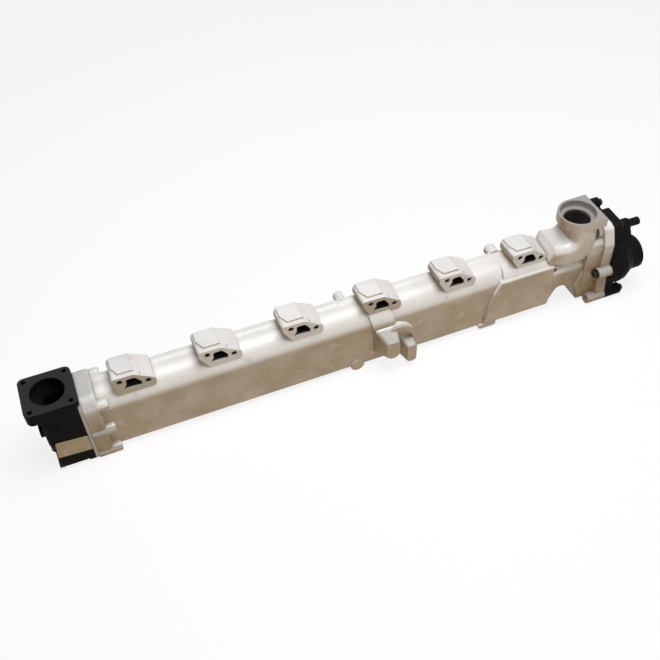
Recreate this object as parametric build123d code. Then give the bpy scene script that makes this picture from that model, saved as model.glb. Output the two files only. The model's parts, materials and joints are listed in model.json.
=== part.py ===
from build123d import *
import os
from math import cos, radians, sin

# Exhaust gas cooler for a six-cylinder truck engine, in millimetres.
# The origin is midway between the two bolt holes of the first coolant port, on its machined face.
# +X runs along the port row towards the coolant cover, -Y is the way the ports face, +Z is up.

# Coolant port row
port_count = 6
port_pitch = 160.0
port_bolt_pcd = 51.4
port_bolt_tilt = 17.6
port_bolt_core_r = 5.1
port_bolt_depth = 24.0
port_block_depth = 50.0
port_bore_depth = 34.0
port_drop_x = (-14.0, 12.0)
port_drop_y = (14.0, 34.0)
port_drop_z = (-34.0, -4.0)
port_pad_inset = 4.5
port_pad_right_x = 3.0
port_pad_front_y = 9.0
port_pad_z = 21.6
port_pad_corner = 9.0

# Right side of a port face and of the rear of its block: x, z and corner radius
port_face_right = [(2.0, 18.0, 8.0), (38.5, -6.5, 9.0), (38.5, -27.0, 12.0)]
port_rear_right = [(2.0, 20.5, 8.0), (37.0, 1.5, 9.0), (41.0, -29.0, 12.0)]
# Left side of both, first for the first port and then for the others
first_face_left = [(-34.0, -27.0, 2.0), (-38.0, 6.0, 4.0), (-38.0, 19.0, 5.0)]
first_rear_left = [(-35.0, -29.0, 2.0), (-37.5, 3.0, 4.0), (-37.5, 20.0, 8.0)]
port_face_left = [(-22.0, -27.0, 2.0), (-41.0, 6.0, 4.0), (-41.0, 19.0, 5.0)]
port_rear_left = [(-24.0, -29.0, 2.0), (-41.5, 3.0, 4.0), (-41.5, 20.0, 8.0)]
# Opening of a port: x, z and corner radius
port_mouth = [
    (-20.0, -13.0, 1.5),
    (-13.5, -2.0, 1.0),
    (-13.5, 9.5, 4.0),
    (3.0, 9.5, 5.0),
    (13.0, -5.0, 3.0),
    (13.0, -14.5, 3.0),
]

# Cooler housing: one long casting, its section looking along the row
front_y = -8.0
rear_y = 55.0
top_z = -12.0
bottom_z = -145.5
ledge_y = 39.0
ledge_run = 4.0
ledge_rise = 3.0
ledge_r = 3.0
top_front_r = 38.0
bottom_front_r = 3.0
rear_r = 4.0
wall = 5.0
inlet_face_x = -98.0
box_end_x = 853.5
box_end_low_r = 12.0
rest_z = -157.0

# Smallest inner radius, and how far a cutting shape runs past the surface it cuts
least_r = 1.0
over = 1.0
# How much the corner radius of a nearly round section stays under half its width
round_margin = 0.1

# Gas core: flat tubes, one above the other
tube_count = 10
tube_pitch = 10.8
tube_width = 35.0
tube_height = 7.0
tube_wall = 0.8
tube_lowest_z = -129.5
tube_end_proud = 1.5

# Sliding header at the cool end, its land in the housing and its seal rings
header_t = 14.0
header_margin = 3.5
header_corner_r = 6.0
header_gap = 0.25
header_end_gap = 3.0
land_end_x = 804.0
land_length = 20.0
seal_count = 2
seal_width = 3.0
seal_depth = 2.2
seal_side_gap = 0.3

# Support plates along the core
support_count = 4
support_t = 1.5
support_gap = 0.6

# Inlet joint: header plate between two gaskets
gasket_t = 1.0
inlet_header_t = 4.0
inlet_flange_t = 28.0
inlet_flange_y = (-20.0, 68.0)
inlet_flange_top_z = 2.5
inlet_flange_front_r = 24.0
inlet_flange_corner_r = 12.0
inlet_flange_low_r = 11.0
inlet_flange_edge_r = 6.0
inlet_boss_r = 10.5
inlet_boss_edge_r = 4.0
inlet_window_y = (6.0, 50.0)
inlet_window_z = (-138.0, -24.0)
inlet_window_r = 7.0
inlet_thread_depth = 34.0

# Inlet bolts: y, z and right end of the boss
inlet_front_bolts = [(-11.0, -21.0, -53.0), (-13.5, -87.5, -53.0), (-12.0, -146.0, -53.0)]
inlet_rear_bolts = [(60.0, -15.0, -53.0), (60.0, -80.0, -53.0), (60.0, -144.0, -60.0)]

# Inlet casting
seat_right_x = -98.55
seat_y = 23.0
seat_z = 17.0
seat_length = 92.5
seat_width = 90.0
seat_t = 14.0
seat_under_t = 18.0
seat_under_r = 10.0
seat_corner_r = 11.0
seat_bore_r = 30.5
seat_bolt_offset = 35.3
seat_bolt_core_r = 4.25
seat_bolt_depth = 22.0
throat_top_z = 1.0
throat_corner_r = 8.0
casting_flange_t = 12.0
casting_left_x = -172.0
casting_y = (-20.0, 50.0)
casting_bottom_z = -151.0
casting_edge_r = 7.0
# Step on its left side: distance from the left, height above the bottom and corner radius
casting_step = [(0.0, 55.0, 12.0), (5.0, 48.0, 6.0), (1.5, 0.0, 12.0)]
casting_chamber_x = (-158.0, -110.0)
casting_chamber_y = (9.0, 44.0)
casting_chamber_z = (-138.0, -18.0)
front_seat_x = -162.0
end_boss_y = 2.0
end_boss_z = -53.0
end_boss_r = 13.0
end_boss_x = -179.0

# Hex flange bolts: flange radius, width across the hexagon
bolt_r = 4.0
bolt_gap = 0.15
bolt_flange_t = 1.6
bolt_head_h = 8.0
bolt_end_gap = 3.0
inlet_bolt_head = (7.5, 12.0)
cover_bolt_head = (9.5, 13.0)
pocket_r = 8.5
cover_bolt_reach = 18.0

# Outlet elbow: sections of the duct on its way from the gas chamber up to the round seat
elbow_root_x = 839.5
elbow_root_y = (-7.0, 54.0)
elbow_root_z = (-45.0, -13.0)
elbow_root_r = 12.0
elbow_start_x = 850.0
elbow_start_front_y = -12.0
elbow_throat_x = 845.0
elbow_throat_z = (-55.0, -18.0)
elbow_throat_r = 14.0
elbow_bore_x = 856.0
elbow_y = (-20.0, rear_y)
elbow_z = (-35.0, 13.0)
elbow_front_low_r = 12.0
elbow_front_top_r = 20.0
elbow_rear_r = 7.0
elbow_mid_x = 904.0
elbow_mid_z = -7.0
elbow_mid_height = 60.0
elbow_mid_spread = 1.0
elbow_mid_rear_r = 14.0
elbow_mid_tilt = 42.0
elbow_wall = 5.5
outlet_x = 911.0
outlet_y = 23.0
outlet_ring_z = 43.0
outlet_face_z = 62.0
outlet_ring_r = 40.5
ring_overhang = 0.5
outlet_right_x = 953.0
outlet_right_y = (-17.5, 63.5)
outlet_seat_r = 36.0
outlet_seat_depth = 15.0
outlet_bore_r = 27.0
chamber_end_x = 848.0

# Raised panel, coolant passage and arch at the outlet end
panel_rise = 6.0
panel_bottom_z = -142.0
panel_edge = [(733.0, -32.0), (719.0, -60.0), (711.5, -90.0), (706.0, -117.0), (703.0, panel_bottom_z)]
panel_edge_r = 5.0
panel_crown = [(745.0, -6.0), (739.0, -30.0), (728.0, -62.0)]
bypass_x = (760.0, 845.0)
bypass_y = (-9.0, 3.0)
bypass_z = (-128.0, -48.0)
bypass_end_x = 864.0
channel_gap = 6.0
channel_y = (-13.0, 38.0)
channel_z = (bottom_z, -40.0)
channel_top_r = 25.0
channel_low_r = 9.0
channel_rear_r = 2.0
channel_bore_r = 19.0
channel_left_x = 833.5
channel_bore_low_z = -95.0
arch = [(830.0, -170.0, 1.0), (830.0, -131.0, 1.0), (853.5, -131.0, 8.0), (870.0, -95.0, 14.0),
        (905.0, -103.0, 18.0), (919.0, -136.0, 12.0), (930.0, -170.0, 1.0)]
leg = [(912.0, -112.0, 6.0), (921.0, -131.0, 8.0), (941.0, -149.0, 10.0), (962.0, -152.0, 1.0),
       (962.0, -60.0, 1.0), (927.0, -60.0, 8.0)]
leg_y = (-20.0, 10.0)
manifold_left_x = 924.5
manifold_outline = [(-19.0, -151.0, 8.0), (-19.0, 4.0, 12.0), (86.0, 4.0, 10.0), (85.0, -85.0, 16.0),
                    (64.5, -151.0, 8.0)]
manifold_cavity_x = 935.0
manifold_cavity_y = (-13.0, 66.0)
manifold_cavity_z = (-133.0, -6.0)
manifold_cavity_r = 10.0
flange_left_x = 958.0
cover_face_x = 980.0
cover_boss_r = 12.0

# Cover bolts: y, z, left end of the housing boss and right end of the cover boss
cover_bolts_right = [
    (1.0, 13.0, 949.0, 1001.0),
    (-27.0, -145.0, 940.0, 1020.0),
    (80.0, 12.0, 949.0, 1004.0),
    (80.0, -75.0, 949.0, 1001.0),
    (60.0, -145.0, 949.0, 1001.0),
]
cover_bolt_left = (-30.0, -75.0, 950.0, 1001.0)
flange_outline = [
    (-25.0, -10.0, 12.0),
    (-12.0, 24.0, 9.0),
    (0.0, 29.0, 9.0),
    (41.0, 30.0, 7.0),
    (57.0, 12.0, 6.0),
    (92.0, 12.0, 10.0),
    (91.0, -85.0, 20.0),
    (70.0, rest_z, 11.0),
    (-36.0, rest_z, 12.0),
    (-28.0, -100.0, 15.0),
]

# Coolant cover
cover_plate_right_x = 1001.0
cover_recess = 9.0
cover_recess_z = (-133.0, 3.0)
socket_y = 3.0
socket_z = -79.0
socket_r = 35.5
socket_bore_r = 29.0
socket_end_x = 1062.0
socket_step_x = 1012.0
socket_step_r = 25.0
nipple_y = 16.0
nipple_z = -6.0
nipple_root_r = 13.0
nipple_tip_r = 8.5
nipple_bore_r = 5.5
nipple_straight_x = 1044.0
nipple_end_x = 1063.0
blind_end = 4.0

# Body of the cover: x, radius round the nipple and radius round the socket
cover_body = [(985.0, 12.0, 40.0), (1001.0, 12.0, 52.0), (1015.0, 12.5, 50.0), (1036.0, 13.0, 38.0)]

# Bosses, foot and bracket on the housing
foot_x = (693.0, 732.0)
foot_y = (-14.0, 20.0)
foot_z = -150.5
foot_corner_r = 6.0
low_boss_x = 424.0
low_boss_y = (-10.0, 24.0)
low_boss_r = 14.0
knob_end_y = 74.0
knob_edge_r = 2.5
# Knobs on the rear: x, height of the top and radius
knobs = [(416.0, -8.0, 10.0), (748.0, -4.5, 12.0)]
# Round marks left in the front wall by the die: x and z
mark_r = 6.0
mark_depth = 0.6
marks = [(-2.0, -57.0), (2.0, -114.0), (152.0, -57.0), (150.0, -111.0), (226.0, -90.0), (313.0, -126.0),
         (632.0, -64.0)]
bracket_port = 3
bracket_arm = [(-33.0, -3.0, 2.0), (-29.0, -25.0, 20.0), (-24.0, -50.0, 20.0), (-12.0, -70.0, 3.0),
               (24.0, -70.0, 3.0), (20.0, -30.0, 6.0), (0.0, -3.0, 4.0)]
bracket_half_span = 60.0
bracket_web = [(4.0, -62.0, 8.0), (22.0, -56.0, 16.0), (44.0, -62.0, 16.0), (60.0, -84.0, 8.0),
               (61.0, -108.0, 4.0), (10.0, -108.0, 4.0), (-2.0, -78.0, 8.0)]
bracket_web_y = -16.0
bracket_root_y = 0.0
bracket_rib = [(8.0, -57.0, 3.0), (19.0, -52.0, 12.0), (32.0, -53.0, 20.0), (47.0, -60.0, 20.0), (58.0, -72.0, 14.0),
               (63.0, -88.0, 2.0), (56.0, -90.0, 2.0), (50.0, -77.0, 10.0), (42.0, -69.0, 14.0),
               (29.0, -62.0, 14.0), (9.0, -66.0, 3.0)]
bracket_rib_y = -25.0
lobe_one_root = (-23.0, 25.0, -124.0, -50.0)
lobe_one_tip = (-8.0, 18.5, -112.0, -69.0)
lobe_one_y = (-8.0, -45.0)
lobe_one_r = (12.0, 6.0)
lobe_two_root = (30.0, 60.0, -144.0, -90.0)
lobe_two_tip = (37.5, 57.0, -142.0, -98.0)
lobe_two_y = (-8.0, -42.0)
lobe_two_r = (6.0, 6.0)


# Shape helpers
def rounded(points):
    """Closed outline with each corner rounded by the radius given with it"""
    places = [(a, b) for a, b, r in points]
    radii = [r for a, b, r in points]
    return make_face(FilletPolyline(*places, radius=radii, close=True).edges())


def across(face, y0, y1):
    """Outline in x and z drawn out from y0 to y1"""
    return extrude(Plane.XZ.offset(-y0) * face, amount=y0 - y1)


def along(face, x0, x1):
    """Outline in y and z drawn out from x0 to x1"""
    return extrude(Plane.YZ.offset(x0) * face, amount=x1 - x0)


def upward(face, z0, z1):
    """Outline in x and y drawn out from z0 to z1"""
    return extrude(Plane.XY.offset(z0) * face, amount=z1 - z0)


def block(x, y, z):
    """Box between two limits along each axis"""
    size = (x[1] - x[0], y[1] - y[0], z[1] - z[0])
    middle = ((x[0] + x[1]) / 2, (y[0] + y[1]) / 2, (z[0] + z[1]) / 2)
    return Pos(*middle) * Box(*size)


def rounded_box(x, y, z, r):
    """Box whose four long edges along the row are rounded"""
    face = Pos((y[0] + y[1]) / 2, (z[0] + z[1]) / 2) * RectangleRounded(y[1] - y[0], z[1] - z[0], r)
    return along(face, x[0], x[1])


def rod_x(y, z, r, x0, x1):
    """Cylinder along the row"""
    return Pos(x0, y, z) * Rot(0, 90, 0) * Cylinder(r, x1 - x0, align=(Align.CENTER, Align.CENTER, Align.MIN))


def cone_x(y, z, r0, r1, x0, x1):
    """Cone along the row, from radius r0 at x0 to r1 at x1"""
    shape = Cone(r0, r1, x1 - x0, align=(Align.CENTER, Align.CENTER, Align.MIN))
    return Pos(x0, y, z) * Rot(0, 90, 0) * shape


def rod_y(x, z, r, y0, y1):
    """Cylinder across the row"""
    return Pos(x, y0, z) * Rot(-90, 0, 0) * Cylinder(r, y1 - y0, align=(Align.CENTER, Align.CENTER, Align.MIN))


def rod_z(x, y, r, z0, z1):
    """Upright cylinder"""
    return Pos(x, y, z0) * Cylinder(r, z1 - z0, align=(Align.CENTER, Align.CENTER, Align.MIN))


def taper_block(root, tip, ends, radii):
    """Rounded lug that narrows from its root to its tip, with its lower and upper corner radius"""
    low_r, high_r = radii
    sections = []
    for (x0, x1, z0, z1), y in zip((root, tip), ends):
        face = rounded([(x0, z0, low_r), (x0, z1, high_r), (x1, z1, high_r), (x1, z0, low_r)])
        sections.append(Plane.XZ.offset(-y) * face)
    return loft(sections, ruled=True)


# Housing section and places that follow from the sizes above
def housing_section(inset, shift=0.0):
    """Section of the long box, set in by a wall and moved forward by a shift"""
    points = [
        (front_y + inset - shift, bottom_z + inset, max(bottom_front_r - inset, least_r)),
        (front_y + inset - shift, top_z - inset, top_front_r - inset),
        (ledge_y, top_z - inset, ledge_r),
        (ledge_y + ledge_run, top_z + ledge_rise - inset, ledge_r),
        (rear_y - inset, top_z + ledge_rise - inset, max(rear_r - inset, least_r)),
        (rear_y - inset, bottom_z + inset, max(rear_r - inset, least_r)),
    ]
    return rounded(points)


inner_gasket_x = (inlet_face_x - gasket_t, inlet_face_x)
inlet_header_x = (inner_gasket_x[0] - inlet_header_t, inner_gasket_x[0])
outer_gasket_x = (inlet_header_x[0] - gasket_t, inlet_header_x[0])
casting_face_x = outer_gasket_x[0]
casting_flange_left_x = casting_face_x - casting_flange_t
seat_left_x = seat_right_x - seat_length
seat_x = (seat_left_x + seat_right_x) / 2
land_start_x = land_end_x - land_length
header_width = tube_width + 2 * header_margin
header_y = (rear_y - wall - header_gap - header_width, rear_y - wall - header_gap)
tube_y = sum(header_y) / 2
tube_heights = [tube_lowest_z + i * tube_pitch for i in range(tube_count)]
tube_start_x = inlet_header_x[0] - tube_end_proud
header_z = (tube_heights[0] - tube_height / 2 - header_margin, tube_heights[-1] + tube_height / 2 + header_margin)
land_y = (header_y[0] - header_gap, header_y[1] + header_gap)
land_z = (header_z[0] - header_gap, header_z[1] + header_gap)
header_x = (land_end_x - header_t - header_end_gap, land_end_x - header_end_gap)
tube_end_x = header_x[1]
port_places = [i * port_pitch for i in range(port_count)]
cover_gasket_x = (cover_face_x, cover_face_x + gasket_t)


# Port blocks
def port_block(face_left, rear_left):
    """Angled block of one port, with the raised pad on its top"""
    face = rounded(port_face_right + face_left)
    rear = rounded(port_rear_right + rear_left)
    body = loft([Plane.XZ * face, Plane.XZ.offset(-port_block_depth) * rear], ruled=True)
    left = rear_left[-1][0] + port_pad_inset
    near = port_pad_front_y
    plan = Polygon(
        (left + port_pad_corner, near), (port_pad_right_x, near), (port_pad_right_x, port_block_depth),
        (left, port_block_depth), (left, near + 2 * port_pad_corner), align=None)
    return body + upward(plan, 0.0, port_pad_z)


def port_cuts():
    """Opening, drop into the jacket and the two tapped holes of one port"""
    cuts = across(rounded(port_mouth), -over, port_bore_depth) + block(port_drop_x, port_drop_y, port_drop_z)
    for side in (-1, 1):
        x = side * port_bolt_pcd / 2 * cos(radians(port_bolt_tilt))
        z = -side * port_bolt_pcd / 2 * sin(radians(port_bolt_tilt))
        cuts += rod_y(x, z, port_bolt_core_r, -over, port_bolt_depth)
    return cuts


# Inlet joint
def inlet_outline():
    """Outline of the inlet joint, shared by flange, gaskets and header plate"""
    y0, y1 = inlet_flange_y
    return rounded([
        (y0, rest_z, inlet_flange_low_r),
        (y0, inlet_flange_top_z, inlet_flange_front_r),
        (y1, inlet_flange_top_z, inlet_flange_corner_r),
        (y1, rest_z, inlet_flange_corner_r),
    ])


def inlet_bolt_holes(x0, x1, r):
    """Clearance holes for the six inlet bolts"""
    holes = Part()
    for y, z, end_x in inlet_front_bolts + inlet_rear_bolts:
        holes += rod_x(y, z, r, x0, x1)
    return holes


def tube_slots(x0, x1):
    """Outer shapes of all gas tubes between two planes"""
    slots = Part()
    for z in tube_heights:
        slots += along(Pos(tube_y, z) * SlotOverall(tube_width, tube_height), x0, x1)
    return slots


# Outlet elbow
def duct_face(width, height, inset, back_r):
    """Duct section about its own centre, with the wider round on its front edges"""
    y = width / 2 - inset
    z = height / 2 - inset
    return rounded([
        (-y, -z, max(elbow_front_low_r - inset, least_r)),
        (-y, z, max(elbow_front_top_r - inset, least_r)),
        (y, z, max(back_r - inset, least_r)),
        (y, -z, max(back_r - inset, least_r)),
    ])


def elbow_sections(inset, start_x):
    """Duct sections at the chamber, in the bend and under the round seat"""
    y0, y1 = elbow_y
    z0, z1 = elbow_z
    front = elbow_start_front_y
    tilt = radians(elbow_mid_tilt)
    start = Plane(origin=(start_x, (front + y1) / 2, (z0 + z1) / 2), x_dir=(0, 1, 0), z_dir=(1, 0, 0))
    middle = Plane(origin=(elbow_mid_x, (y0 + y1) / 2, elbow_mid_z), x_dir=(0, 1, 0), z_dir=(cos(tilt), 0, sin(tilt)))
    top = Plane(origin=(outlet_x, outlet_y, outlet_ring_z), x_dir=(0, 1, 0), z_dir=(0, 0, 1))
    top_r = (outlet_ring_r if inset == 0 else outlet_bore_r) - ring_overhang
    return [
        start * duct_face(y1 - front, z1 - z0, inset, elbow_rear_r),
        middle * duct_face(y1 - y0 + 2 * elbow_mid_spread, elbow_mid_height, inset, elbow_mid_rear_r),
        top * RectangleRounded(2 * top_r, 2 * top_r, top_r - round_margin),
    ]


def duct_root(x, y, z, r):
    """Rounded section across the row from which the duct sets out"""
    face = Pos(sum(y) / 2, sum(z) / 2) * RectangleRounded(y[1] - y[0], z[1] - z[0], r)
    return Plane.YZ.offset(x) * face


def elbow_outside():
    """Duct from the end of the long box to the round seat, with the seat ring"""
    sections = elbow_sections(0.0, elbow_start_x)
    duct = loft(sections)
    rise = loft([duct_root(elbow_root_x, elbow_root_y, elbow_root_z, elbow_root_r), sections[0]], ruled=True)
    ring = rod_z(outlet_x, outlet_y, outlet_ring_r, outlet_ring_z, outlet_face_z)
    corner = block((outlet_x, outlet_right_x), outlet_right_y, (outlet_ring_z, outlet_face_z))
    return duct + rise + ring + corner


def elbow_inside():
    """Gas passage of the elbow, with the stepped seat"""
    sections = elbow_sections(elbow_wall, elbow_bore_x)
    throat_y = (land_y[0], rear_y - wall)
    throat = loft([duct_root(elbow_throat_x, throat_y, elbow_throat_z, elbow_throat_r), sections[0]], ruled=True)
    bore = loft(sections) + throat
    bore += rod_z(outlet_x, outlet_y, outlet_bore_r, outlet_ring_z, outlet_face_z + over)
    bore += rod_z(outlet_x, outlet_y, outlet_seat_r, outlet_face_z - outlet_seat_depth, outlet_face_z + over)
    return bore


# Coolant end of the housing
def coolant_end():
    """Channel, manifold and cover flange, with the arch below the channel"""
    y0, y1 = channel_y
    z0, z1 = channel_z
    section = rounded([(y0, z0, channel_low_r), (y0, z1, channel_top_r), (y1, z1, channel_rear_r),
                       (y1, z0, channel_rear_r)])
    channel = along(section, channel_left_x, manifold_left_x + channel_low_r)
    channel -= across(rounded(arch), y0 - over, y1 + over)
    outline = rounded(flange_outline)
    body = channel + across(rounded(leg), *leg_y)
    body += along(rounded(manifold_outline), manifold_left_x, cover_face_x)
    body += along(outline, flange_left_x, cover_face_x)
    for y, z, x0, x1 in cover_bolts_right + [cover_bolt_left]:
        body += rod_x(y, z, cover_boss_r, x0, cover_face_x)
    return body


def coolant_end_cuts():
    """Coolant ways from the cover flange to the jacket, and the cover bolt holes"""
    cuts = rounded_box((manifold_cavity_x, cover_face_x + over), manifold_cavity_y, manifold_cavity_z,
                       manifold_cavity_r)
    inner_y = (channel_y[0] + wall, channel_y[1] - wall)
    inner_z = (channel_bore_low_z, channel_z[1] - wall)
    cuts += rounded_box((chamber_end_x + channel_gap, manifold_cavity_x + over), inner_y, inner_z, channel_bore_r)
    cuts += block((bypass_x[1] - over, bypass_end_x), bypass_y, (channel_bore_low_z, bypass_z[1]))
    cuts += block(bypass_x, bypass_y, bypass_z)
    for y, z, x0, x1 in cover_bolts_right + [cover_bolt_left]:
        cuts += rod_x(y, z, bolt_r + bolt_gap, x0 - over, cover_face_x + over)
    return cuts


# Bracket and bosses on the long box
def panel():
    """Raised panel over the coolant passage beside the gas chamber, and the rounded crown above it"""
    top = panel_edge[0][1]
    right = [(box_end_x, panel_bottom_z), (box_end_x, top)]
    outline = make_face(Polyline(*(panel_edge + right), close=True).edges())
    plate = across(outline, front_y - panel_rise, front_y + wall)
    front = plate.faces().sort_by(Axis.Y)[0]
    plate = fillet(front.edges().sort_by(Axis.X)[:-1], panel_edge_r)
    crown_right = [(box_end_x, panel_crown[-1][1]), (box_end_x, panel_crown[0][1])]
    crown = make_face(Polyline(*(panel_crown + crown_right), close=True).edges())
    skin = along(housing_section(0.0, panel_rise), panel_edge[-1][0], box_end_x)
    return plate + (across(crown, front_y - panel_rise - over, ledge_y) & skin)


def bracket():
    """Cast bracket with its two lugs, under the fourth port"""
    skin = along(housing_section(0.0, panel_rise), -bracket_half_span, bracket_half_span)
    arm = across(rounded(bracket_arm), front_y - panel_rise - over, ledge_y) & skin
    web = across(rounded(bracket_web), bracket_web_y, bracket_root_y)
    rib = across(rounded(bracket_rib), bracket_rib_y, bracket_root_y)
    one = taper_block(lobe_one_root, lobe_one_tip, lobe_one_y, lobe_one_r)
    two = taper_block(lobe_two_root, lobe_two_tip, lobe_two_y, lobe_two_r)
    return Pos(bracket_port * port_pitch, 0, 0) * (arm + web + rib + one + two)


def bosses():
    """Foot, low boss and the two bosses on the rear"""
    x0, x1 = foot_x
    root_z = bottom_z + wall
    foot = rounded([(x0, foot_z, foot_corner_r), (x0, root_z, least_r), (x1, root_z, least_r),
                    (x1, foot_z, foot_corner_r)])
    body = across(foot, *foot_y)
    body += rod_y(low_boss_x, rest_z + low_boss_r, low_boss_r, *low_boss_y)
    for x, top, r in knobs:
        knob = rod_y(x, top - r, r, rear_y - wall, knob_end_y)
        body += fillet(knob.edges().filter_by(GeomType.CIRCLE).sort_by(Axis.Y)[-1], knob_edge_r)
    return body


def box_end_corner():
    """What the rounded lower corner at the end of the box leaves out"""
    x = box_end_x - box_end_low_r
    z = bottom_z + box_end_low_r
    y0 = front_y - panel_rise - over
    y1 = rear_y + over
    corner = block((x, box_end_x + over), (y0, y1), (bottom_z - over, z))
    return corner - rod_y(x, z, box_end_low_r, y0, y1)


def inlet_end():
    """Inlet flange of the housing with its six bosses"""
    body = along(inlet_outline(), inlet_face_x, inlet_face_x + inlet_flange_t)
    body = fillet(body.faces().sort_by(Axis.X)[-1].edges(), inlet_flange_edge_r)
    for y, z, end_x in inlet_front_bolts + inlet_rear_bolts:
        boss = rod_x(y, z, inlet_boss_r, inlet_face_x, end_x)
        body += fillet(boss.edges().filter_by(GeomType.CIRCLE).sort_by(Axis.X)[-1], inlet_boss_edge_r)
    return body


def cooler_housing():
    body = along(housing_section(0.0), inlet_face_x, box_end_x)
    body += port_block(first_face_left, first_rear_left)
    for x in port_places[1:]:
        body += Pos(x, 0, 0) * port_block(port_face_left, port_rear_left)
    body += panel()
    body -= box_end_corner()
    body += bosses()
    body += bracket()
    body += inlet_end()
    body += coolant_end()
    body += elbow_outside()
    jacket_start = inlet_face_x + inlet_flange_t
    inner = housing_section(wall)
    body -= along(inner, jacket_start, land_start_x)
    body -= rounded_box((inlet_face_x - over, jacket_start + over), inlet_window_y, inlet_window_z, inlet_window_r)
    body -= rounded_box((land_start_x - over, land_end_x + over), land_y, land_z, header_corner_r + header_gap)
    chamber = block((land_end_x, chamber_end_x), (land_y[0], rear_y), (bottom_z, top_z))
    body -= chamber & along(inner, land_end_x, chamber_end_x)
    body -= elbow_inside()
    body -= coolant_end_cuts()
    for x in port_places:
        body -= Pos(x, 0, 0) * port_cuts()
    for x, z in marks:
        body -= rod_y(x, z, mark_r, front_y - over, front_y + mark_depth)
    thread_end = inlet_face_x + inlet_thread_depth
    body -= inlet_bolt_holes(inlet_face_x - over, thread_end, bolt_r + bolt_gap)
    return body


# Inlet casting
def inlet_casting():
    left = casting_left_x
    low = casting_bottom_z
    top = seat_z - seat_t / 2
    side = rounded(
        [(casting_face_x, top, least_r), (left, top, least_r)]
        + [(left + dx, low + dz, r) for dx, dz, r in casting_step]
        + [(casting_face_x, low, least_r)])
    body = across(side, *casting_y)
    front_edges = body.edges().filter_by(Axis.Z).group_by(Axis.X)[0]
    body = fillet(front_edges, casting_edge_r)
    body += along(inlet_outline(), casting_flange_left_x, casting_face_x)
    seat = Pos(seat_x, seat_y) * RectangleRounded(seat_length, seat_width, seat_corner_r)
    under = upward(seat, seat_z - seat_t - seat_under_t, seat_z - seat_t)
    under = fillet(under.faces().sort_by(Axis.Z)[0].edges(), seat_under_r)
    seat_y_range = (seat_y - seat_width / 2 - over, seat_y + seat_width / 2 + over)
    under -= block((casting_face_x, seat_right_x + over), seat_y_range, (casting_bottom_z, seat_z))
    body += under
    body += upward(seat, seat_z - seat_t, seat_z)
    body += rod_x(end_boss_y, end_boss_z, end_boss_r, end_boss_x, casting_chamber_x[0])
    chamber_x = casting_chamber_x
    chamber_y = casting_chamber_y
    chamber_z = casting_chamber_z
    body -= rod_z(seat_x, seat_y, seat_bore_r, throat_top_z, seat_z + over)
    top = Plane.XY.offset(throat_top_z) * Pos(seat_x, seat_y) * RectangleRounded(
        2 * seat_bore_r, 2 * seat_bore_r, seat_bore_r - round_margin)
    bottom = Plane.XY.offset(chamber_z[1]) * Pos(sum(chamber_x) / 2, sum(chamber_y) / 2) * RectangleRounded(
        chamber_x[1] - chamber_x[0], chamber_y[1] - chamber_y[0], throat_corner_r)
    body -= loft([bottom, top], ruled=True)
    body -= block(chamber_x, chamber_y, chamber_z)
    body -= rounded_box((chamber_x[1] - over, casting_face_x + over), inlet_window_y, inlet_window_z, inlet_window_r)
    for dx in (-seat_bolt_offset, seat_bolt_offset):
        for dy in (-seat_bolt_offset, seat_bolt_offset):
            body -= rod_z(seat_x + dx, seat_y + dy, seat_bolt_core_r, seat_z - seat_bolt_depth, seat_z + over)
    body -= inlet_bolt_holes(front_seat_x - over, casting_face_x + over, bolt_r + bolt_gap)
    for y, z, end_x in inlet_front_bolts:
        body -= rod_x(y, z, pocket_r, seat_left_x - over, front_seat_x)
    for y, z, end_x in inlet_rear_bolts:
        body -= rod_x(y, z, pocket_r, left, casting_flange_left_x)
    return body


# Inlet header plate and gaskets
def inlet_gasket(x0, x1):
    body = along(inlet_outline(), x0, x1)
    body -= rounded_box((x0 - over, x1 + over), inlet_window_y, inlet_window_z, inlet_window_r)
    body -= inlet_bolt_holes(x0 - over, x1 + over, bolt_r + bolt_gap)
    return body


def inlet_header_plate():
    x0, x1 = inlet_header_x
    body = along(inlet_outline(), x0, x1)
    body -= tube_slots(x0 - over, x1 + over)
    body -= inlet_bolt_holes(x0 - over, x1 + over, bolt_r + bolt_gap)
    return body


# Gas core
def gas_tube(z):
    outer = SlotOverall(tube_width, tube_height)
    inner = SlotOverall(tube_width - 2 * tube_wall, tube_height - 2 * tube_wall)
    return along(Pos(tube_y, z) * (outer - inner), tube_start_x, tube_end_x)


def tube_support(x):
    y = (land_y[0] + support_gap, rear_y - wall - support_gap)
    z = (bottom_z + wall + support_gap, land_z[1])
    return rounded_box((x, x + support_t), y, z, header_corner_r) - tube_slots(x - over, x + support_t + over)


def seal_places():
    """Left side of each seal groove"""
    step = header_t / (seal_count + 1)
    return [header_x[0] + (i + 1) * step - seal_width / 2 for i in range(seal_count)]


def header_ring(x0, x1, outer_gap, depth):
    """Rounded frame round the edge of the sliding header"""
    y = (header_y[0] - outer_gap, header_y[1] + outer_gap)
    z = (header_z[0] - outer_gap, header_z[1] + outer_gap)
    inner_y = (header_y[0] + depth, header_y[1] - depth)
    inner_z = (header_z[0] + depth, header_z[1] - depth)
    outside = rounded_box((x0, x1), y, z, header_corner_r + outer_gap)
    return outside - rounded_box((x0 - over, x1 + over), inner_y, inner_z, header_corner_r - depth)


def outlet_header():
    body = rounded_box(header_x, header_y, header_z, header_corner_r)
    body -= tube_slots(header_x[0] - over, header_x[1] + over)
    for x in seal_places():
        body -= header_ring(x, x + seal_width, over, seal_depth)
    return body


def header_seal(x):
    return header_ring(x + seal_side_gap / 2, x + seal_width - seal_side_gap / 2, header_gap, seal_depth)


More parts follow.
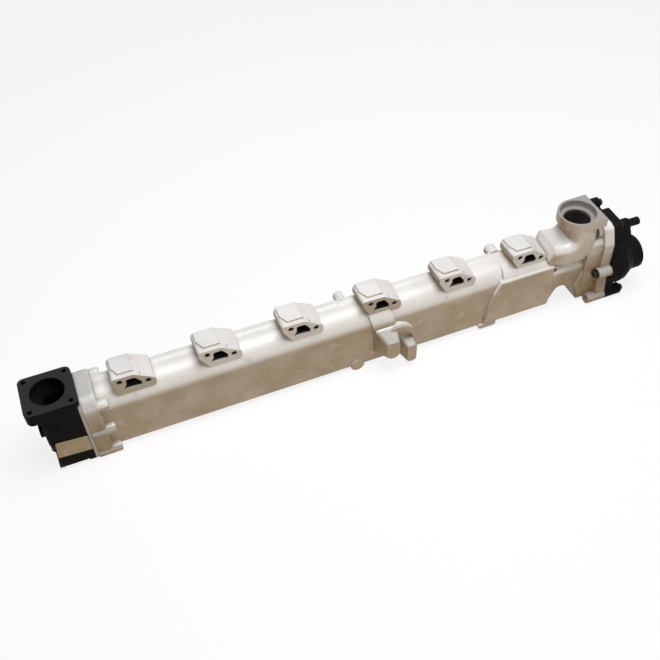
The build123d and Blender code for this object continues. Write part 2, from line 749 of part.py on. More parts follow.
# Coolant cover and its gasket
def cover_gasket():
    x0, x1 = cover_gasket_x
    body = along(rounded(flange_outline), x0, x1)
    body -= rounded_box((x0 - over, x1 + over), manifold_cavity_y, manifold_cavity_z, manifold_cavity_r)
    for y, z, left, right in cover_bolts_right + [cover_bolt_left]:
        body += rod_x(y, z, cover_boss_r, x0, x1)
    for y, z, left, right in cover_bolts_right + [cover_bolt_left]:
        body -= rod_x(y, z, bolt_r + bolt_gap, x0 - over, x1 + over)
    return body


def coolant_cover():
    x0 = cover_gasket_x[1]
    body = along(rounded(flange_outline), x0, cover_plate_right_x)
    for y, z, left, right in cover_bolts_right + [cover_bolt_left]:
        body += rod_x(y, z, cover_boss_r, x0, right)
    sections = []
    for x, nipple_r, around_r in cover_body:
        circles = Pos(nipple_y, nipple_z) * Circle(nipple_r) + Pos(socket_y, socket_z) * Circle(around_r)
        sections.append(Plane.YZ.offset(x) * make_hull(circles.edges()))
    body += loft(sections, ruled=True)
    body_end_x = cover_body[-1][0]
    body += rod_x(socket_y, socket_z, socket_r, body_end_x - over, socket_end_x)
    body += cone_x(nipple_y, nipple_z, nipple_root_r, nipple_tip_r, body_end_x, nipple_straight_x)
    body += rod_x(nipple_y, nipple_z, nipple_tip_r, nipple_straight_x, nipple_end_x)
    body -= rounded_box((x0 - over, x0 + cover_recess), manifold_cavity_y, cover_recess_z, manifold_cavity_r)
    body -= rod_x(socket_y, socket_z, socket_step_r, x0, socket_step_x)
    body -= rod_x(socket_y, socket_z, socket_bore_r, socket_step_x, socket_end_x + over)
    body -= rod_x(nipple_y, nipple_z, nipple_bore_r, x0, nipple_end_x + over)
    for y, z, left, right in cover_bolts_right:
        body -= rod_x(y, z, bolt_r + bolt_gap, x0 - over, right + over)
    y, z, left, right = cover_bolt_left
    body -= rod_x(y, z, bolt_r + bolt_gap, x0 - over, right - blind_end)
    return body


# Bolts
def bolt(y, z, seat, end, head_size):
    """Hex flange bolt from its seat to its end, head on the far side of the seat"""
    flange_r, hex_width = head_size
    way = 1.0 if end > seat else -1.0
    shape = Cylinder(bolt_r, abs(end - seat), align=(Align.CENTER, Align.CENTER, Align.MIN))
    head = Cylinder(flange_r, bolt_flange_t, align=(Align.CENTER, Align.CENTER, Align.MAX))
    head += extrude(RegularPolygon(hex_width / 2, 6, major_radius=False), amount=-bolt_head_h)
    return Pos(seat, y, z) * Rot(0, 90.0 * way, 0) * (shape + head)


def inlet_bolts():
    end = inlet_face_x + inlet_thread_depth - bolt_end_gap
    front = [bolt(y, z, front_seat_x, end, inlet_bolt_head) for y, z, boss_end in inlet_front_bolts]
    rear = [bolt(y, z, casting_flange_left_x, end, inlet_bolt_head) for y, z, boss_end in inlet_rear_bolts]
    return front + rear


def cover_bolts():
    end = cover_face_x - cover_bolt_reach
    bolts = [bolt(y, z, right, end, cover_bolt_head) for y, z, left, right in cover_bolts_right]
    y, z, left, right = cover_bolt_left
    return bolts + [bolt(y, z, left, right - blind_end - bolt_end_gap, cover_bolt_head)]


# Write every piece to its own file
def write(name, shape):
    shape.label = name
    export_step(shape, "parts/" + name + ".step")


os.makedirs("parts", exist_ok=True)
write("cooler_housing", cooler_housing())
write("inlet_casting", inlet_casting())
write("inlet_gasket_outer", inlet_gasket(*outer_gasket_x))
write("inlet_header_plate", inlet_header_plate())
write("inlet_gasket_inner", inlet_gasket(*inner_gasket_x))
for index, height in enumerate(tube_heights):
    write("gas_tube_%02d" % (index + 1), gas_tube(height))
for index in range(support_count):
    span = land_start_x - inlet_face_x
    write("tube_support_%d" % (index + 1), tube_support(inlet_face_x + span * (index + 1) / (support_count + 1)))
write("outlet_header", outlet_header())
for index, place in enumerate(seal_places()):
    write("header_seal_%d" % (index + 1), header_seal(place))
write("cover_gasket", cover_gasket())
write("coolant_cover", coolant_cover())
write("inlet_bolts", Compound(children=inlet_bolts()))
write("cover_bolts", Compound(children=cover_bolts()))
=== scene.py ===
import json
import math

import bmesh
import bpy
from mathutils import Matrix, Vector


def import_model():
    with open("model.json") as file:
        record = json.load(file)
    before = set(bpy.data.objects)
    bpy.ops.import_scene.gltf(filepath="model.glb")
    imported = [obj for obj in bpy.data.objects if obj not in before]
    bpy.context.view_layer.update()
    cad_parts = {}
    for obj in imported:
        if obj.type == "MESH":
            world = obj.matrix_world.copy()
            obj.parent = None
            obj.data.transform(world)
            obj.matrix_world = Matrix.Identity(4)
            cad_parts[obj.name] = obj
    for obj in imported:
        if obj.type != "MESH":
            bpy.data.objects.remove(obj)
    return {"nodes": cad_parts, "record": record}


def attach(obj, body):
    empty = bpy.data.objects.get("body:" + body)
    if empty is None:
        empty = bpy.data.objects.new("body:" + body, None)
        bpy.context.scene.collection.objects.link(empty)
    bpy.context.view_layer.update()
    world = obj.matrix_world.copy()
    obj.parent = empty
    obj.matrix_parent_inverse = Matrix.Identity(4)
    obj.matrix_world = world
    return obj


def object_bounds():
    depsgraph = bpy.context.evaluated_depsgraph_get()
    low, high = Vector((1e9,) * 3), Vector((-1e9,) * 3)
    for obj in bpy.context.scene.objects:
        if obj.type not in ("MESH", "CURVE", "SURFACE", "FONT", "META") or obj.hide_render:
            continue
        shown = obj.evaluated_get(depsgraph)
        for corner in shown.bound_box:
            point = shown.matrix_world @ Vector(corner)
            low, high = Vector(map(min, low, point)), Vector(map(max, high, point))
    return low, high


# Exhaust gas cooler as photographed: the CAD pieces with their materials, the bare label, light and camera.
# Lengths are metres in the CAD frame, and colours are linear red, green and blue.
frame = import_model()
cad_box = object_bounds()
nodes = frame["nodes"]

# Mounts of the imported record: where each one is, and its sizes, which are in millimetres
places = {mount["name"]: mount["pos_m"] for mount in frame["record"]["mounts"]}
sizes = {mount["name"]: mount["dims"] for mount in frame["record"]["mounts"]}
millimetre = 0.001

# Camera: its place, the directions to its right, top and back, and its lens and sensor in millimetres
camera_place = (-0.0111, -1.0294, 1.1872)
camera_right = (0.9274, -0.3733, -0.0242)
camera_up = (0.2920, 0.6820, 0.6706)
camera_back = (-0.2338, -0.6289, 0.7415)
camera_lens = 47.39
camera_sensor = 36.0

# A point lies on a machined face within this distance, where this much of its normal is along the axis
face_reach = 0.0004
straight_on = 0.99
# How far the masks reach past the floor and the wall of the outlet seat and past the walls of tapped holes
floor_margin = 0.0005
wall_margin = 0.0002
hole_margin = 0.0005

# Machined faces of the long casting and of the inlet casting
port_face_y = places["port_1"][1]
inlet_seat_z = places["gas_inlet_bolts"][2]
outlet_x, outlet_y, outlet_z = places["gas_outlet"]
outlet_half_depth = sizes["gas_outlet"]["length_mm"] * millimetre / 2
outlet_top_z = outlet_z + outlet_half_depth
outlet_seat_z = outlet_z - outlet_half_depth - floor_margin
outlet_seat_r = sizes["gas_outlet"]["r_mm"] * millimetre + wall_margin

# Passages painted dark as shade: the elbow under the outlet seat, and the openings and tapped holes about
# each port's middle
elbow_bend_z = 0.005
elbow_low_z = -0.032
port_pitch = places["port_2"][0] - places["port_1"][0]
port_opening_x = (-0.0205, 0.0140)
port_opening_z = (-0.0200, 0.0110)
port_hole_tilt = math.radians(17.6)
port_hole_span = sizes["port_1"]["pcd_mm"] * millimetre / 2
port_hole_x = port_hole_span * math.cos(port_hole_tilt)
port_hole_drop = port_hole_span * math.sin(port_hole_tilt)
port_hole_r = sizes["port_1"]["hole_r_mm"] * millimetre + hole_margin
port_dark_y = (0.0004, 0.0050)
port_deep_y = 0.036
# Painted shade inside the elbow, and in the port openings and tapped holes
outlet_shade = (0.060, 0.055, 0.048)
opening_shade = (0.020, 0.016, 0.013)

# Colours of the long casting: as cast, with a painted pinkish highlight on the right slope of each port
# block, and where it is milled
cast_light = (0.90, 0.89, 0.88)
cast_grey = (0.84, 0.83, 0.82)
# Painted pinkish highlight on the right slope of each port block
pink_highlight = (0.88, 0.80, 0.81)
pink_highlight_x = (0.004, 0.034)
pink_highlight_z = -0.010
milled_light = (0.86, 0.84, 0.81)
milled_grey = (0.76, 0.74, 0.71)
ring_light = (0.46, 0.43, 0.41)
ring_grey = (0.37, 0.345, 0.325)
pink_highlight_share = 0.6
# Ports whose milled faces get the painted tan shade of the walls
tan_shaded_ports = ("port_1", "port_4")
port_shade_share = 0.8

# Dirt and painted shade on the long casting: where they begin and end, how steep a face takes them, and
# their colours
# Painted warm tan shade on the walls, and on the low front under the top
wall_shade_tan = (0.50, 0.42, 0.305)
# Brown dirt low at both ends, and painted brown shade on left-facing faces
brown_grime_and_shade = (0.33, 0.232, 0.122)
# Painted grey shade on the tops at the inlet end and on the low front
grey_shade = (0.40, 0.40, 0.39)
pale_scuff = (0.78, 0.74, 0.68)
grey_smudge = (0.46, 0.46, 0.455)
brown_pit = (0.27, 0.22, 0.16)
# Brown dirt and painted shade in corners and creases
crease_dirt_and_shade = (0.36, 0.28, 0.19)
wall_slope = (0.40, 0.02)
shaded_left_slope = (-0.25, -0.80)
inlet_end_x = (-0.055, -0.080)
outlet_end_x = (0.848, 0.880)
wall_shade_fade_z = (-0.090, -0.020)
grime_z = (-0.010, -0.100)
lobes_y = -0.018
lobes_z = -0.030
crease_reach = 0.009

# Shares of each layer of dirt and painted shade that show
wall_shade_least = 0.80
wall_shade_lost_high = 0.52
lobe_wall_shade = 0.5
lobe_top_shade = 0.80
inlet_top_shade = 0.50
grey_shade_least = 0.70
scuff_share = 0.35
smudge_share = 0.30
pit_share = 0.35
grime_and_shade_range = (0.50, 0.92)
crease_share = 0.48

# Surface of the long casting
cast_metal = 0.12
cast_gloss = 0.45
cast_rough = (0.42, 0.54)
milled_smoother = 0.12
lump_share = 0.7
grain_share = 0.3
relief_strength = 0.35
relief_height = 0.0006

# Radius to which the shading rounds the edges of each kind of piece
cast_edge_r = 0.0030
iron_edge_r = 0.0020
bolt_edge_r = 0.0008
sheet_edge_r = 0.0005

# Dark castings and bolts
iron_side = (0.007, 0.0066, 0.0062)
iron_top = (0.046, 0.046, 0.045)
cover_side = (0.009, 0.0083, 0.0078)
iron_worn = (0.10, 0.095, 0.09)
bolt_dark = (0.014, 0.013, 0.012)
bolt_light = (0.030, 0.028, 0.026)
bolt_worn = (0.14, 0.13, 0.12)

# Stretch of a noise along x, y and z: under 1 draws its spots out along that axis, over 1 flattens them
even = (1.0, 1.0, 1.0)
along_x = (0.05, 1.0, 1.0)
along_y = (1.0, 0.2, 1.0)
along_z = (1.0, 1.0, 0.1)
flat_streaks = (1.0, 1.0, 9.0)
flat_threads = (1.0, 1.0, 6.0)

# Sheets, tubes and rings
gasket_grey = (0.26, 0.24, 0.21)
header_grey = (0.38, 0.34, 0.29)
tube_grey = (0.58, 0.56, 0.53)
support_grey = (0.52, 0.52, 0.51)
rubber_dark = (0.020, 0.020, 0.020)
rubber_light = (0.040, 0.039, 0.038)

# Bare label plate on the inlet casting: its front and back, its corners in x and z, and its own colours
label_front_y = -0.0207
label_back_y = -0.0198
label_corners = [(-0.1615, -0.0740), (-0.1046, -0.0795), (-0.1046, -0.1205), (-0.1660, -0.1160)]
label_round = 0.003
label_steps = 4
foil_light = (0.45, 0.345, 0.215)
foil_dark = (0.36, 0.275, 0.165)
foil_thread = (0.60, 0.50, 0.35)

# Floor and surroundings: what lights the object, and what the camera sees
floor_size = 5.0
floor_middle_x = 0.45
floor_bounce = (0.66, 0.515, 0.34)
floor_shown = 0.20
floor_glow = 0.84
world_fill = (1.0, 0.91, 0.80)
world_level = 0.06
white = (1.0, 1.0, 1.0)

# Lamps: name, place, the point it faces, width, watts and colour
lamps = [
    ("top", (0.55, -0.14, 1.9), (0.50, 0.0, -0.05), 1.2, 31.0, (1.0, 1.0, 0.995)),
    ("right", (2.2, -0.2, 1.0), (0.5, 0.0, -0.05), 1.2, 3.0, (1.0, 0.93, 0.92)),
    ("front", (0.3, -1.9, 0.15), (0.4, 0.0, -0.08), 1.4, 7.0, (1.0, 0.90, 0.78)),
]

# Edges shallower than this many degrees are shaded smooth
smooth_angle = 28.0

# Places of the colour sockets on Blender's mix node
mix_share = 0
mix_first = 6
mix_second = 7
mix_result = 2

# Band of a noise's values in which nearly all of them lie, and how rough its spots are
noise_band = (0.3, 0.7)
noise_rough = 0.55

# Cosine of the turn from the flat face at which wear begins on an edge, and where it is full
edge_turn = (0.985, 0.90)


class Paint:
    """Node material with short calls for the few nodes that this scene needs"""

    def __init__(self, name):
        self.material = bpy.data.materials.new(name)
        self.material.use_nodes = True
        self.tree = self.material.node_tree
        self.tree.nodes.clear()
        self.shader = self.add("ShaderNodeBsdfPrincipled")
        output = self.add("ShaderNodeOutputMaterial")
        self.join(self.shader.outputs["BSDF"], output.inputs["Surface"])
        self.place = self.add("ShaderNodeTexCoord").outputs["Object"]
        geometry = self.add("ShaderNodeNewGeometry")
        self.facing = geometry.outputs["True Normal"]
        self.x, self.y, self.z = self.parts(self.place)
        self.nx, self.ny, self.nz = self.parts(self.facing)

    def add(self, kind, **settings):
        node = self.tree.nodes.new(kind)
        for name, value in settings.items():
            setattr(node, name, value)
        return node

    def join(self, source, target):
        self.tree.links.new(source, target)

    def put(self, target, value):
        """Gives an input a link or a plain value"""
        if isinstance(value, bpy.types.NodeSocket):
            self.join(value, target)
        elif isinstance(value, tuple) and len(value) == 3 and target.type == "RGBA":
            target.default_value = (*value, 1.0)
        else:
            target.default_value = value

    def set(self, **inputs):
        """Sets inputs of the shader, with spaces written as underscores"""
        for name, value in inputs.items():
            self.put(self.shader.inputs[name.replace("_", " ")], value)

    def parts(self, vector):
        node = self.add("ShaderNodeSeparateXYZ")
        self.join(vector, node.inputs[0])
        return node.outputs

    def math(self, operation, a, b=0.0, third=0.0):
        node = self.add("ShaderNodeMath", operation=operation)
        self.put(node.inputs[0], a)
        self.put(node.inputs[1], b)
        self.put(node.inputs[2], third)
        return node.outputs[0]

    def plus(self, a, b):
        return self.math("ADD", a, b)

    def minus(self, a, b):
        return self.math("SUBTRACT", a, b)

    def times(self, *factors):
        result = factors[0]
        for factor in factors[1:]:
            result = self.math("MULTIPLY", result, factor)
        return result

    def distance(self, a, b):
        """Length of a line with these two legs"""
        return self.math("SQRT", self.plus(self.times(a, a), self.times(b, b)))

    def either(self, a, b):
        return self.math("MAXIMUM", a, b)

    def less(self, a):
        """What a mask leaves out"""
        return self.minus(1.0, a)

    def over(self, value, limit):
        return self.math("GREATER_THAN", value, limit)

    def under(self, value, limit):
        return self.math("LESS_THAN", value, limit)

    def between(self, value, limits):
        """1 where a value lies between two limits"""
        return self.times(self.over(value, limits[0]), self.under(value, limits[1]))

    def near(self, value, goal, reach):
        """1 where a value is within reach of a goal"""
        return self.under(self.math("ABSOLUTE", self.minus(value, goal)), reach)

    def ease(self, value, low, high, out_low=0.0, out_high=1.0):
        """Smooth change from one level to another as a value goes from low to high"""
        node = self.add("ShaderNodeMapRange", interpolation_type="SMOOTHSTEP")
        self.put(node.inputs["Value"], value)
        levels = {"From Min": low, "From Max": high, "To Min": out_low, "To Max": out_high}
        for name, level in levels.items():
            node.inputs[name].default_value = level
        return node.outputs["Result"]

    def uneven(self, mask, least, most=1.0):
        """Mask kept between two levels, so that a layer varies but is nowhere missing"""
        return self.ease(mask, 0.0, 1.0, least, most)

    def spots(self, start, full, **pattern):
        """Spots of noise, which start at one level of it and are full at another"""
        return self.ease(self.noise(**pattern), start, full)

    def noise(self, scale, detail=3.0, twist=0.0, stretch=even):
        """Soft random spots, about as many to a metre as the scale says"""
        mapping = self.add("ShaderNodeMapping")
        self.join(self.place, mapping.inputs["Vector"])
        mapping.inputs["Scale"].default_value = stretch
        node = self.add("ShaderNodeTexNoise")
        self.join(mapping.outputs[0], node.inputs["Vector"])
        node.inputs["Scale"].default_value = scale
        node.inputs["Detail"].default_value = detail
        node.inputs["Roughness"].default_value = noise_rough
        node.inputs["Distortion"].default_value = twist
        return node.outputs["Fac"]

    def blend(self, share, first, second):
        node = self.add("ShaderNodeMix", data_type="RGBA")
        self.put(node.inputs[mix_share], share)
        self.put(node.inputs[mix_first], first)
        self.put(node.inputs[mix_second], second)
        return node.outputs[mix_result]

    def layer(self, base, colour, mask, share):
        """Lays a colour over a base where a mask says, with the share of it that shows there"""
        return self.blend(self.times(mask, share), base, colour)

    def set_rough(self, pattern, least, most):
        """Roughness that follows a noise between two levels"""
        self.set(Roughness=self.ease(pattern, *noise_band, least, most))

    def soft_edge(self, radius, samples=4):
        """Shading normal with the edges rounded off"""
        node = self.add("ShaderNodeBevel", samples=samples)
        node.inputs["Radius"].default_value = radius
        return node.outputs[0]

    def edge_wear(self, rounded):
        """1 on sharp edges, 0 on flat ground"""
        node = self.add("ShaderNodeVectorMath", operation="DOT_PRODUCT")
        self.join(rounded, node.inputs[0])
        self.join(self.facing, node.inputs[1])
        return self.ease(node.outputs["Value"], *edge_turn)

    def crease(self, distance, samples=4):
        """1 in corners and hollows, 0 in the open"""
        node = self.add("ShaderNodeAmbientOcclusion", samples=samples)
        node.inputs["Distance"].default_value = distance
        return self.less(node.outputs["AO"])

    def bump(self, height, strength, distance, below=None):
        node = self.add("ShaderNodeBump")
        node.inputs["Strength"].default_value = strength
        node.inputs["Distance"].default_value = distance
        self.join(height, node.inputs["Height"])
        if below is not None:
            self.join(below, node.inputs["Normal"])
        return node.outputs[0]


class CastAlloy(Paint):
    """Shot-blasted aluminium casting with machined joint faces, dirt, and painted shade and highlights, the
    passages painted dark as shade
    """

    def __init__(self):
        super().__init__("cast_alloy")
        self.from_x = self.minus(self.x, outlet_x)
        self.from_y = self.minus(self.y, outlet_y)
        self.span = self.distance(self.from_x, self.from_y)
        # Place along the row, counted from the nearest port
        self.along = self.math("WRAP", self.x, port_pitch / 2, third=-port_pitch / 2)
        self.broad = self.spots(start=0.35, full=0.65, scale=14.0, detail=4.0)
        self.wall = self.ease(self.nz, *wall_slope)
        port_plane = self.near(self.y, port_face_y, face_reach)
        self.port = self.times(port_plane, self.under(self.ny, -straight_on))
        self.machined = self.machined_faces()
        self.outlet = self.outlet_passage()
        self.openings = self.port_passages()
        self.finish_colour()
        self.finish_surface()

    def machined_faces(self):
        """Port faces, the rim of the outlet and the seat inside it"""
        rim = self.times(self.near(self.z, outlet_top_z, face_reach), self.over(self.nz, straight_on))
        seat = self.times(self.under(self.span, outlet_seat_r), self.over(self.z, outlet_seat_z))
        return self.either(self.port, self.either(rim, seat))

    def outlet_passage(self):
        """Inside of the elbow: faces that look towards the outlet's axis, and all that is below the bend"""
        outward = self.plus(self.times(self.from_x, self.nx), self.times(self.from_y, self.ny))
        inside = self.either(self.under(outward, 0.0), self.under(self.z, elbow_bend_z))
        height = self.between(self.z, (elbow_low_z, outlet_seat_z))
        return self.times(inside, self.under(self.span, outlet_seat_r), height)

    def port_passages(self):
        """Openings of the ports and the two tapped holes beside each, one high and one low"""
        opening = self.times(self.between(self.along, port_opening_x), self.between(self.z, port_opening_z))
        level = self.times(self.math("SIGN", self.along), self.z)
        hole_span = self.distance(self.minus(self.math("ABSOLUTE", self.along), port_hole_x),
                                  self.plus(level, port_hole_drop))
        hole = self.under(hole_span, port_hole_r)
        depth = self.times(self.ease(self.y, *port_dark_y), self.under(self.y, port_deep_y))
        return self.times(self.either(opening, hole), depth)

    def highlighted_metal(self):
        """Bare grey-white metal, with a painted pinkish highlight on the right slope of each port block"""
        cast = self.blend(self.broad, cast_light, cast_grey)
        # Painted pinkish highlight on the right slope of each block's top
        highlight_patch = self.times(self.between(self.along, pink_highlight_x), self.over(self.z, pink_highlight_z))
        return self.layer(cast, pink_highlight, self.times(highlight_patch, self.broad), pink_highlight_share)

    def dirty_and_shaded_metal(self, cast):
        """Painted tan shade on the walls and on the low front, painted grey shade on some tops, scuffs,
        smudges and pits, brown dirt low at both ends and painted brown shade on left-facing faces, and
        brown dirt with painted shade in creases
        """
        top = self.less(self.wall)
        inlet_end = self.ease(self.x, *inlet_end_x)
        ends = self.either(inlet_end, self.ease(self.x, *outlet_end_x))
        high = self.ease(self.z, *wall_shade_fade_z)
        lost = self.times(ends, high, wall_shade_lost_high)
        # Painted warm tan shade on the walls, weaker high up at both ends
        wall_shade = self.times(self.wall, self.uneven(self.broad, wall_shade_least), self.less(lost))
        cast = self.blend(wall_shade, cast, wall_shade_tan)

        # Painted tan shade at half share on the low front under the top, the lobes of the bracket included
        lobes = self.times(self.under(self.y, lobes_y), self.under(self.z, lobes_z))
        cast = self.layer(cast, wall_shade_tan, lobes, lobe_wall_shade)
        # Painted grey shade on tops at the inlet end and on the low front
        shaded_tops = self.either(self.times(inlet_end, inlet_top_shade), self.times(lobes, lobe_top_shade))
        cast = self.blend(self.times(top, shaded_tops, self.uneven(self.broad, grey_shade_least)), cast, grey_shade)

        scuff = self.times(self.wall, self.spots(start=0.58, full=0.70, scale=38.0, detail=4.0, twist=1.0))
        cast = self.layer(cast, pale_scuff, scuff, scuff_share)
        smudge = self.times(top, self.spots(start=0.60, full=0.74, scale=31.0, detail=5.0, twist=1.2))
        cast = self.layer(cast, grey_smudge, smudge, smudge_share)
        pits = self.spots(start=0.66, full=0.73, scale=230.0, twist=0.4)
        cast = self.layer(cast, brown_pit, pits, pit_share)

        # Brown dirt low at both ends, and painted brown shade on left-facing faces
        patch = self.spots(start=0.38, full=0.66, scale=26.0, detail=4.0, twist=0.6)
        low = self.times(ends, self.ease(self.z, *grime_z))
        side = self.ease(self.nx, *shaded_left_slope)
        grime_and_shade = self.times(self.wall, self.either(low, side), self.uneven(patch, *grime_and_shade_range))
        cast = self.blend(grime_and_shade, cast, brown_grime_and_shade)
        # Brown dirt and painted shade in corners and creases
        return self.layer(cast, crease_dirt_and_shade, self.crease(crease_reach), crease_share)

    def milled_metal(self):
        """Streaked milled faces: bright at the ports, with the painted tan shade of the walls on two of
        them, greyer at the outlet
        """
        streaks = self.noise(scale=60.0, stretch=flat_streaks)
        bright = self.blend(streaks, milled_light, milled_grey)
        ring = self.blend(streaks, ring_light, ring_grey)
        # Painted tan shade of the walls on the faces of two ports
        port_shade = self.either(*[self.near(self.x, places[name][0], port_pitch / 2) for name in tan_shaded_ports])
        bright = self.layer(bright, wall_shade_tan, port_shade, port_shade_share)
        return self.blend(self.port, ring, bright)

    def finish_colour(self):
        cast = self.dirty_and_shaded_metal(self.highlighted_metal())
        colour = self.blend(self.machined, cast, self.milled_metal())
        # Painted shade inside the elbow and in the port openings and tapped holes
        colour = self.blend(self.outlet, colour, outlet_shade)
        self.set(Base_Color=self.blend(self.openings, colour, opening_shade))

    def finish_surface(self):
        """Low metal gloss, smoother where milled, rough and without metal gloss in the passages, and a fine
        cast grain
        """
        # The passages painted dark as shade are also rough and without metal gloss
        shaded_passages = self.either(self.outlet, self.openings)
        self.set(Metallic=self.times(self.less(shaded_passages), cast_metal))
        self.set(Specular_IOR_Level=cast_gloss)
        rough = self.ease(self.noise(scale=420.0, detail=2.0), *noise_band, *cast_rough)
        rough = self.minus(rough, self.times(self.machined, milled_smoother))
        self.set(Roughness=self.either(rough, shaded_passages))
        lumps = self.times(self.noise(scale=95.0), lump_share)
        grain = self.times(self.noise(scale=1300.0, detail=2.0), grain_share)
        height = self.times(self.plus(lumps, grain), self.less(self.machined))
        self.set(Normal=self.bump(height, relief_strength, relief_height, self.soft_edge(cast_edge_r)))


def tinted(colour, factor):
    """Lighter or darker version of a colour"""
    return tuple(part * factor for part in colour)


def cast_iron(name, side, top, top_z, rough):
    """Dark painted casting, with one lighter machined face at a given height, and its range of roughness"""
    paint = Paint(name)
    rounded = paint.soft_edge(iron_edge_r)
    worn = paint.times(paint.edge_wear(rounded), paint.spots(start=0.40, full=0.62, scale=160.0))
    broad = paint.spots(start=0.35, full=0.65, scale=30.0, detail=4.0)
    fine = paint.noise(scale=650.0)
    body = paint.blend(broad, side, tinted(side, factor=1.6))
    body = paint.layer(body, iron_worn, worn, share=0.25)
    face = paint.times(paint.near(paint.z, top_z, face_reach), paint.over(paint.nz, straight_on))
    milled = paint.blend(paint.ease(fine, *noise_band), top, tinted(top, factor=0.72))
    paint.set(Base_Color=paint.blend(face, body, milled))
    paint.set(Specular_IOR_Level=0.035)
    paint.set_rough(paint.noise(scale=90.0), *rough)
    paint.set(Normal=paint.bump(fine, strength=0.4, distance=0.0004, below=rounded))
    return paint.material


def sheet_steel(name, colour, rough, stretch):
    """Rolled or drawn steel with faint lines along one axis, and its range of roughness"""
    paint = Paint(name)
    lines = paint.noise(scale=400.0, stretch=stretch)
    rounded = paint.soft_edge(sheet_edge_r)
    paint.set(Base_Color=paint.blend(lines, colour, tinted(colour, factor=0.8)))
    paint.set(Metallic=0.9)
    paint.set_rough(lines, *rough)
    paint.set(Normal=paint.bump(lines, strength=0.2, distance=0.0002, below=rounded))
    return paint.material


def black_steel():
    """Blackened bolt with worn edges"""
    paint = Paint("black_steel")
    rounded = paint.soft_edge(bolt_edge_r)
    cloud = paint.noise(scale=220.0)
    body = paint.blend(cloud, bolt_dark, bolt_light)
    paint.set(Base_Color=paint.layer(body, bolt_worn, paint.edge_wear(rounded), share=0.3))
    paint.set(Metallic=0.2)
    paint.set(Specular_IOR_Level=0.2)
    paint.set_rough(cloud, least=0.34, most=0.50)
    paint.set(Normal=paint.bump(cloud, strength=0.25, distance=0.0003, below=rounded))
    return paint.material


def soft_rubber():
    """Seal ring"""
    paint = Paint("soft_rubber")
    cloud = paint.noise(scale=300.0)
    paint.set(Base_Color=paint.blend(cloud, rubber_dark, rubber_light))
    paint.set_rough(cloud, least=0.55, most=0.70)
    paint.set(Normal=paint.bump(cloud, strength=0.3, distance=0.0003))
    return paint.material


def label_foil():
    """Plain gold-tan foil of the bare label"""
    paint = Paint("label_foil")
    cloud = paint.spots(start=0.35, full=0.65, scale=55.0, detail=4.0)
    weave = paint.noise(scale=900.0, detail=2.0, stretch=flat_threads)
    base = paint.blend(cloud, foil_light, foil_dark)
    paint.set(Base_Color=paint.layer(base, foil_thread, weave, share=0.3))
    paint.set(Metallic=0.25)
    paint.set_rough(weave, least=0.40, most=0.55)
    paint.set(Normal=paint.bump(weave, strength=0.2, distance=0.0002))
    return paint.material


def dress(material, *names):
    """Gives CAD nodes their material"""
    for name in names:
        slots = nodes[name].data.materials
        slots.clear()
        slots.append(material)


def row(start):
    """CAD nodes of a numbered row"""
    return [name for name in nodes if name.startswith(start)]


def smooth(names, angle):
    """Smooth shading over shallow edges, sharp over steep ones"""
    for name in names:
        mesh = nodes[name].data
        mesh.shade_smooth()
        mesh.set_sharp_from_angle(angle=math.radians(angle))


def rounded_outline(corners, reach, steps):
    """Points of a closed outline with each corner replaced by a curve that starts at this reach from it"""
    points = []
    for i, corner in enumerate(corners):
        here = Vector(corner)
        before = (Vector(corners[i - 1]) - here).normalized()
        after = (Vector(corners[(i + 1) % len(corners)]) - here).normalized()
        for step in range(steps + 1):
            t = step / steps
            points.append(here + reach * ((1 - t) ** 2 * before + t ** 2 * after))
    return points


def label():
    """Thin plate with rounded corners on the front of the inlet casting"""
    points = rounded_outline(label_corners, label_round, label_steps)
    plate = bmesh.new()
    front = [plate.verts.new((p.x, label_front_y, p.y)) for p in points]
    back = [plate.verts.new((p.x, label_back_y, p.y)) for p in points]
    plate.faces.new(front)
    plate.faces.new(list(reversed(back)))
    for i in range(len(points)):
        j = (i + 1) % len(points)
        plate.faces.new((front[j], front[i], back[i], back[j]))
    bmesh.ops.recalc_face_normals(plate, faces=plate.faces)
    mesh = bpy.data.meshes.new("label")
    plate.to_mesh(mesh)
    plate.free()
    piece = bpy.data.objects.new("label", mesh)
    bpy.context.scene.collection.objects.link(piece)
    mesh.materials.append(label_foil())
    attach(piece, "root")


def seen_ray(tree):
    """1 for what the camera sees, straight, by reflection or through glass"""
    path = tree.nodes.new("ShaderNodeLightPath")
    result = path.outputs["Is Camera Ray"]
    for name in ("Is Glossy Ray", "Is Transmission Ray"):
        larger = tree.nodes.new("ShaderNodeMath")
        larger.operation = "MAXIMUM"
        tree.links.new(result, larger.inputs[0])
        tree.links.new(path.outputs[name], larger.inputs[1])
        result = larger.outputs[0]
    return result


def plain_shader(tree, kind, colour, strength=None):
    """Shader of one colour"""
    node = tree.nodes.new(kind)
    node.inputs["Color"].default_value = (*colour, 1.0)
    if strength is not None:
        node.inputs["Strength"].default_value = strength
    return node.outputs[0]


def show_or_light(tree, lighting, shown, output_kind):
    """Sends one shader to the object and another to the camera"""
    mix = tree.nodes.new("ShaderNodeMixShader")
    tree.links.new(seen_ray(tree), mix.inputs[0])
    tree.links.new(lighting, mix.inputs[1])
    tree.links.new(shown, mix.inputs[2])
    output = tree.nodes.new(output_kind)
    tree.links.new(mix.outputs[0], output.inputs["Surface"])


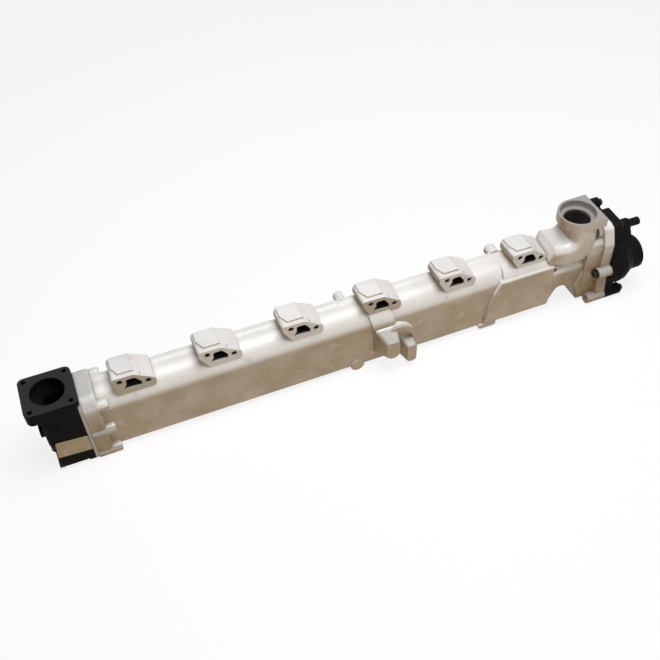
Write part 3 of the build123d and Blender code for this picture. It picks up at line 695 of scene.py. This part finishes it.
def floor():
    """Plain pale floor that shows white and keeps a faint shadow"""
    bpy.ops.mesh.primitive_plane_add(size=floor_size, location=(floor_middle_x, 0.0, cad_box[0][2]))
    ground = bpy.context.object
    ground.name = "floor"
    material = bpy.data.materials.new("floor")
    material.use_nodes = True
    tree = material.node_tree
    tree.nodes.clear()
    bounce = plain_shader(tree, "ShaderNodeBsdfDiffuse", floor_bounce)
    shade = plain_shader(tree, "ShaderNodeBsdfDiffuse", (floor_shown, floor_shown, floor_shown))
    glow = plain_shader(tree, "ShaderNodeEmission", white, floor_glow)
    shown = tree.nodes.new("ShaderNodeAddShader")
    tree.links.new(shade, shown.inputs[0])
    tree.links.new(glow, shown.inputs[1])
    show_or_light(tree, bounce, shown.outputs[0], "ShaderNodeOutputMaterial")
    ground.data.materials.append(material)


def world():
    """White surroundings with a gentle fill"""
    sky = bpy.data.worlds.new("sky")
    bpy.context.scene.world = sky
    sky.use_nodes = True
    tree = sky.node_tree
    tree.nodes.clear()
    fill = plain_shader(tree, "ShaderNodeBackground", world_fill, world_level)
    shown = plain_shader(tree, "ShaderNodeBackground", white)
    show_or_light(tree, fill, shown, "ShaderNodeOutputWorld")


def lamp(name, place, goal, size, power, colour):
    """Square soft light aimed at a point"""
    data = bpy.data.lights.new(name, "AREA")
    data.size = size
    data.energy = power
    data.color = colour
    light = bpy.data.objects.new(name, data)
    bpy.context.scene.collection.objects.link(light)
    light.location = place
    light.rotation_euler = (Vector(goal) - Vector(place)).to_track_quat("-Z", "Y").to_euler()


def camera():
    data = bpy.data.cameras.new("camera")
    data.lens = camera_lens
    data.sensor_width = camera_sensor
    view = bpy.data.objects.new("camera", data)
    bpy.context.scene.collection.objects.link(view)
    turn = Matrix((camera_right, camera_up, camera_back)).transposed()
    view.matrix_world = Matrix.Translation(camera_place) @ turn.to_4x4()
    bpy.context.scene.camera = view


dress(CastAlloy().material, "cooler_housing")
dress(cast_iron("inlet_iron", iron_side, iron_top, inlet_seat_z, rough=(0.50, 0.64)), "inlet_casting")
dress(cast_iron("cover_iron", cover_side, cover_side, inlet_seat_z, rough=(0.48, 0.62)), "coolant_cover")
dress(sheet_steel("gasket_sheet", gasket_grey, rough=(0.45, 0.58), stretch=even),
      "inlet_gasket_outer", "inlet_gasket_inner", "cover_gasket")
dress(sheet_steel("header_steel", header_grey, rough=(0.40, 0.53), stretch=along_y),
      "inlet_header_plate", "outlet_header")
dress(sheet_steel("tube_steel", tube_grey, rough=(0.25, 0.38), stretch=along_x), *row("gas_tube"))
dress(sheet_steel("support_steel", support_grey, rough=(0.30, 0.43), stretch=along_z), *row("tube_support"))
dress(soft_rubber(), "header_seal_1", "header_seal_2")
dress(black_steel(), "inlet_bolts", "cover_bolts")
smooth(nodes, smooth_angle)
label()
floor()
world()
for settings in lamps:
    lamp(*settings)
camera()

bpy.context.scene.view_settings.view_transform = "Standard"
